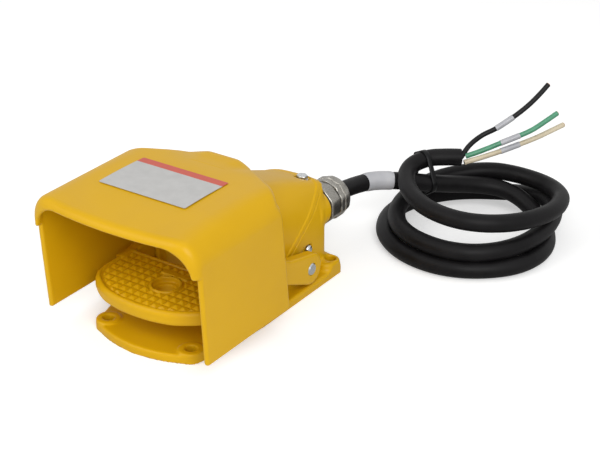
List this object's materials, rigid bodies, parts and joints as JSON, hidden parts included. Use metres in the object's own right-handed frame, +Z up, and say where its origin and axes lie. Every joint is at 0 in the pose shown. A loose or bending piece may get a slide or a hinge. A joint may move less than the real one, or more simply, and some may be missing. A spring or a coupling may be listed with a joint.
{
  "type": "industrial foot switch",
  "caption": "Heavy-duty foot switch: cast base and full shield over a treadle that turns a shaft and works a snap switch, with a cable gland and a coiled cord",
  "frame": {"origin": "Middle of the underside of the casting, below the middle of its length.", "axes": "+Y to the rear, where the cord leaves; +Z up; +X to the right seen from the rear of a user facing the opening."},
  "size_m": [0.2671, 0.4343, 0.1203],
  "materials": {
    "base_casting": "gloss yellow enamel on cast aluminium",
    "shield_cover": "gloss yellow enamel on cast aluminium",
    "cover_gasket": "black sheet rubber",
    "rear_cover_screw": "zinc-plated steel",
    "side_cover_screws": "zinc-plated steel",
    "treadle": "gloss yellow enamel on cast aluminium",
    "treadle_shaft": "zinc-plated steel",
    "arm_drive_pins": "zinc-plated steel",
    "shaft_bushings": "sintered bronze",
    "shaft_seals": "black rubber",
    "shaft_retaining_rings": "zinc-plated steel",
    "actuator_lever": "zinc-plated steel",
    "lever_clamp_screw": "zinc-plated steel",
    "adjusting_screw": "zinc-plated steel",
    "adjusting_locknut": "zinc-plated steel",
    "return_spring": "zinc-plated steel",
    "spring_seat": "zinc-plated steel",
    "switch_bracket": "zinc-plated steel",
    "bracket_screws": "zinc-plated steel",
    "switch_case": "moulded phenolic",
    "switch_plunger": "moulded plastic",
    "switch_screws": "zinc-plated steel",
    "switch_terminals": "brass",
    "ground_screw": "green plated steel",
    "inner_lead_black": "extruded insulation",
    "inner_lead_green": "extruded insulation",
    "inner_lead_white": "extruded insulation",
    "gland_body": "die-cast zinc, dull",
    "gland_washer": "black rubber",
    "gland_grommet": "black rubber",
    "gland_nut": "die-cast zinc, dull",
    "blank_label": "printed film, left bare",
    "cord_lead_in": "extruded rubber jacket",
    "cord_marker": "heat-shrink sleeve, blank",
    "cord_coil": "extruded rubber jacket",
    "cord_top_turn": "extruded rubber jacket",
    "cord_tail": "extruded rubber jacket",
    "cable_tie": "moulded nylon",
    "wire_black": "extruded insulation",
    "wire_green": "extruded insulation",
    "wire_white": "extruded insulation",
    "wire_sleeves": "heat-shrink sleeve, blank"
  },
  "bodies": {
    "base": {"base_casting": "base_casting", "shield_cover": "shield_cover", "cover_gasket": "cover_gasket", "rear_cover_screw": "rear_cover_screw", "side_cover_screws": "side_cover_screws", "shaft_bushings": "shaft_bushings", "shaft_seals": "shaft_seals", "return_spring": "return_spring", "spring_seat": "spring_seat", "switch_bracket": "switch_bracket", "bracket_screws": "bracket_screws", "switch_case": "switch_case", "switch_screws": "switch_screws", "switch_terminals": "switch_terminals", "ground_screw": "ground_screw", "inner_lead_black": "inner_lead_black", "inner_lead_green": "inner_lead_green", "inner_lead_white": "inner_lead_white", "gland_body": "gland_body", "gland_washer": "gland_washer", "gland_grommet": "gland_grommet", "gland_nut": "gland_nut", "blank_label": "blank_label", "cord_lead_in": "cord_lead_in", "cord_marker": "cord_marker", "cord_coil": "cord_coil", "cord_top_turn": "cord_top_turn", "cord_tail": "cord_tail", "cable_tie": "cable_tie", "wire_black": "wire_black", "wire_green": "wire_green", "wire_white": "wire_white", "wire_sleeves": "wire_sleeves"},
    "treadle": {"treadle": "treadle", "treadle_shaft": "treadle_shaft", "arm_drive_pins": "arm_drive_pins", "shaft_retaining_rings": "shaft_retaining_rings", "actuator_lever": "actuator_lever", "lever_clamp_screw": "lever_clamp_screw", "adjusting_screw": "adjusting_screw", "adjusting_locknut": "adjusting_locknut"},
    "switch_plunger": {"switch_plunger": "switch_plunger"}
  },
  "joints": [
    {"name": "treadle_hinge", "type": "hinge", "parent": "base", "child": "treadle", "pos_m": [0, 0.062, 0.023], "axis": [1, 0, 0], "range_deg": [0, 7], "stiffness_Nm_per_rad": 6, "springref_deg": -11.46, "deforming": ["return_spring"]},
    {"name": "plunger_slide", "type": "slide", "parent": "base", "child": "switch_plunger", "axis": [0, -1, 0], "range_m": [0, 0.003]}
  ],
  "couplings": [
    {"joint": "plunger_slide", "follows": "treadle_hinge", "m_per_rad": 0.0239}
  ]
}
